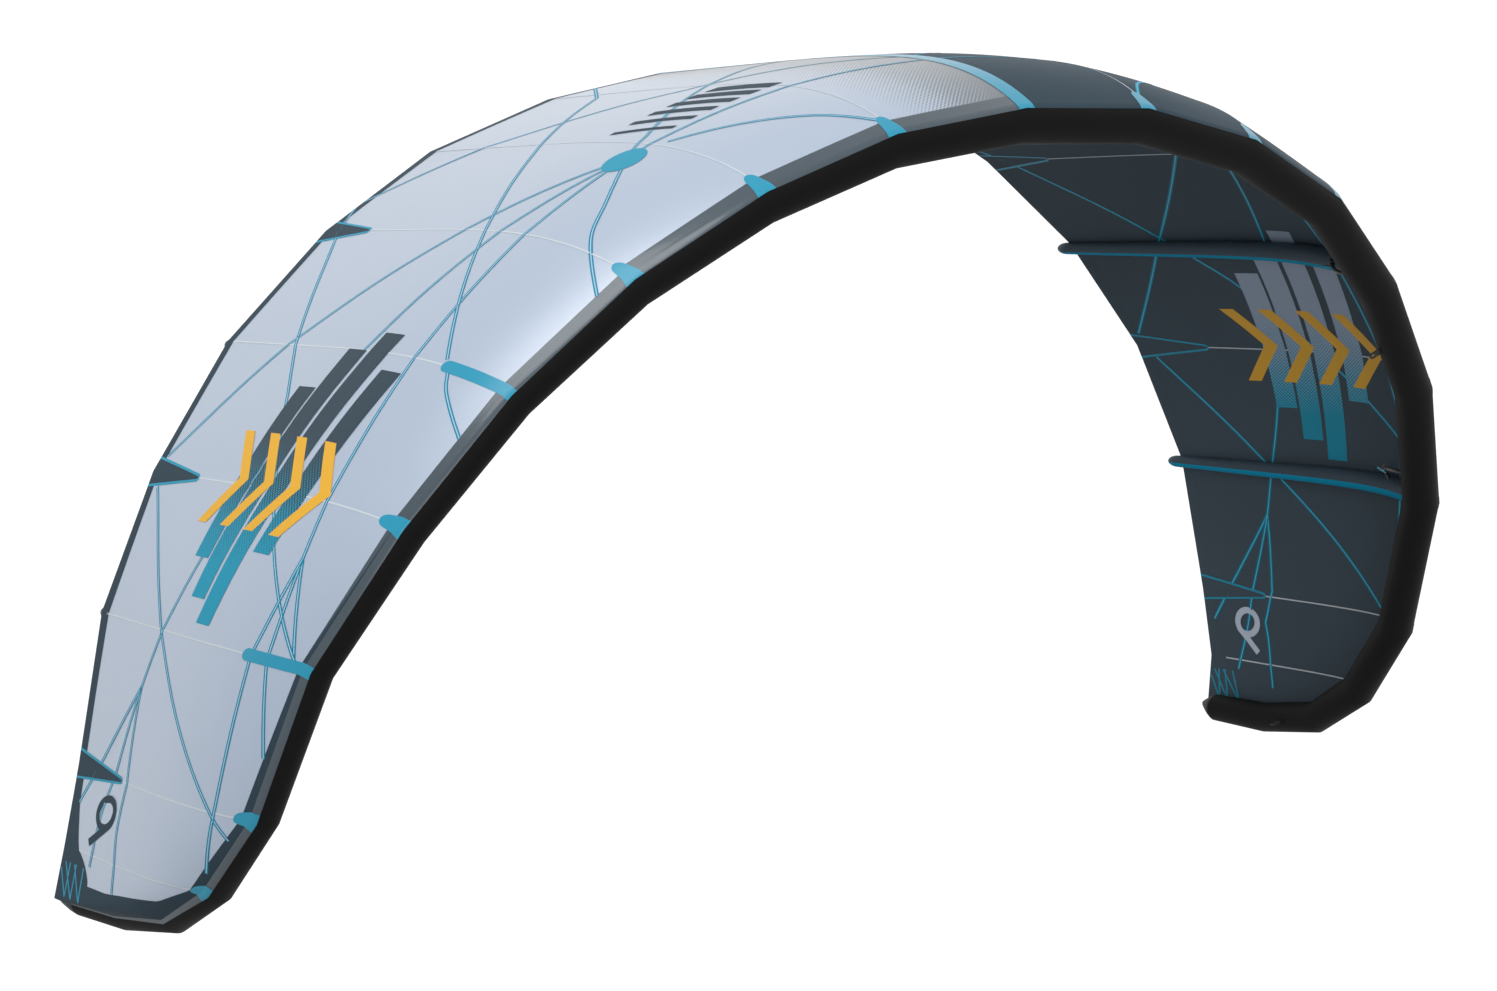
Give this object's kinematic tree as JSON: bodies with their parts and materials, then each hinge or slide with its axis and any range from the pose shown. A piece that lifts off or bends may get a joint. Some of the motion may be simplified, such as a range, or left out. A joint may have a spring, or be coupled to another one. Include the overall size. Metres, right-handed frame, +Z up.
{
  "type": "kitesurfing kite",
  "caption": "Leading edge inflatable kite in flying shape: arched canopy of cloth panels on a swept inflated tube and struts, with hoses, pinch clips, valve and line tabs.",
  "frame": {"origin": "centre of the leading edge tube at the middle seam", "axes": "-Y is the way the kite flies, +Y runs back along the struts, +X is its left wing and +Z is up"},
  "size_m": [4.3974, 1.6825, 2.3254],
  "materials": {
    "black_cloth": "matt laminated sleeve cloth",
    "slate_cloth": "matt laminated sleeve cloth",
    "pale_canopy": "coated ripstop, satin",
    "slate_canopy": "coated ripstop, satin",
    "bladder_film": "clear flexible film",
    "black_plastic": "moulded, satin",
    "teal_plastic": "moulded, satin",
    "hose_rubber": "smooth, satin",
    "webbing": "woven webbing"
  },
  "bodies": {
    "kite": {"leading_edge_sleeve_left_1": "black_cloth", "leading_edge_sleeve_left_2": "black_cloth", "leading_edge_sleeve_left_3": "black_cloth", "leading_edge_tip_left": "black_cloth", "canopy_panel_left_1": "slate_canopy", "canopy_panel_left_2": "slate_canopy", "canopy_panel_left_3": "slate_canopy", "canopy_panel_left_4": "slate_canopy", "canopy_panel_left_5": "slate_canopy", "canopy_panel_left_6": "slate_canopy", "canopy_panel_left_7": "slate_canopy", "canopy_panel_left_8": "slate_canopy", "canopy_panel_left_9": "slate_canopy", "leading_edge_sleeve_right_1": "black_cloth", "leading_edge_sleeve_right_2": "black_cloth", "leading_edge_sleeve_right_3": "black_cloth", "leading_edge_tip_right": "black_cloth", "canopy_panel_right_1": "pale_canopy", "canopy_panel_right_2": "pale_canopy", "canopy_panel_right_3": "pale_canopy", "canopy_panel_right_4": "pale_canopy", "canopy_panel_right_5": "pale_canopy", "canopy_panel_right_6": "pale_canopy", "canopy_panel_right_7": "pale_canopy", "canopy_panel_right_8": "pale_canopy", "canopy_panel_right_9": "pale_canopy", "strut_sleeve_middle": "slate_cloth", "strut_bladder_middle": "bladder_film", "inflation_hose_middle": "hose_rubber", "clip_body_middle": "black_plastic", "strut_sleeve_left_inner": "slate_cloth", "strut_bladder_left_inner": "bladder_film", "inflation_hose_left_inner": "hose_rubber", "clip_body_left_inner": "black_plastic", "strut_sleeve_right_inner": "slate_cloth", "strut_bladder_right_inner": "bladder_film", "inflation_hose_right_inner": "hose_rubber", "clip_body_right_inner": "black_plastic", "strut_sleeve_left_outer": "slate_cloth", "strut_bladder_left_outer": "bladder_film", "inflation_hose_left_outer": "hose_rubber", "clip_body_left_outer": "black_plastic", "strut_sleeve_right_outer": "slate_cloth", "strut_bladder_right_outer": "bladder_film", "inflation_hose_right_outer": "hose_rubber", "clip_body_right_outer": "black_plastic", "leading_edge_bladder": "bladder_film", "valve_base": "black_plastic", "line_tab_front_left": "webbing", "line_tab_rear_left": "webbing", "line_tab_front_right": "webbing", "line_tab_rear_right": "webbing"},
    "valve_insert": {"valve_insert": "teal_plastic"},
    "valve_cap": {"valve_cap": "black_plastic"},
    "clip_lever_middle": {"clip_lever_middle": "teal_plastic"},
    "clip_lever_left_inner": {"clip_lever_left_inner": "teal_plastic"},
    "clip_lever_right_inner": {"clip_lever_right_inner": "teal_plastic"},
    "clip_lever_left_outer": {"clip_lever_left_outer": "teal_plastic"},
    "clip_lever_right_outer": {"clip_lever_right_outer": "teal_plastic"}
  },
  "joints": [
    {"name": "valve_insert_turn", "type": "hinge", "parent": "kite", "child": "valve_insert", "pos_m": [0.22116, 0.00395, -0.01706], "axis": [-0.0587, 0.792, -0.6077], "range_deg": [0, 90]},
    {"name": "valve_cap_flip", "type": "hinge", "parent": "kite", "child": "valve_cap", "pos_m": [0.24578, 0.06233, -0.06372], "axis": [-0.0509, -0.6103, -0.7905], "range_deg": [0, 160]},
    {"name": "clip_lever_middle_open", "type": "hinge", "parent": "kite", "child": "clip_lever_middle", "pos_m": [0.08367, 0.15474, -0.00208], "axis": [0.2387, -0.6368, -0.7332], "range_deg": [0, 100]},
    {"name": "clip_lever_left_inner_open", "type": "hinge", "parent": "kite", "child": "clip_lever_left_inner", "pos_m": [1.50785, 0.3346, -0.5757], "axis": [-0.6529, -0.7401, -0.1611], "range_deg": [0, 100]},
    {"name": "clip_lever_right_inner_open", "type": "hinge", "parent": "kite", "child": "clip_lever_right_inner", "pos_m": [-1.50785, 0.3346, -0.5757], "axis": [-0.6529, 0.7401, 0.1611], "range_deg": [0, 100]},
    {"name": "clip_lever_left_outer_open", "type": "hinge", "parent": "kite", "child": "clip_lever_left_outer", "pos_m": [1.98452, 0.60981, -1.26819], "axis": [-0.6053, -0.7783, 0.1667], "range_deg": [0, 100]},
    {"name": "clip_lever_right_outer_open", "type": "hinge", "parent": "kite", "child": "clip_lever_right_outer", "pos_m": [-1.98452, 0.60981, -1.26819], "axis": [-0.6053, 0.7783, -0.1667], "range_deg": [0, 100]}
  ]
}
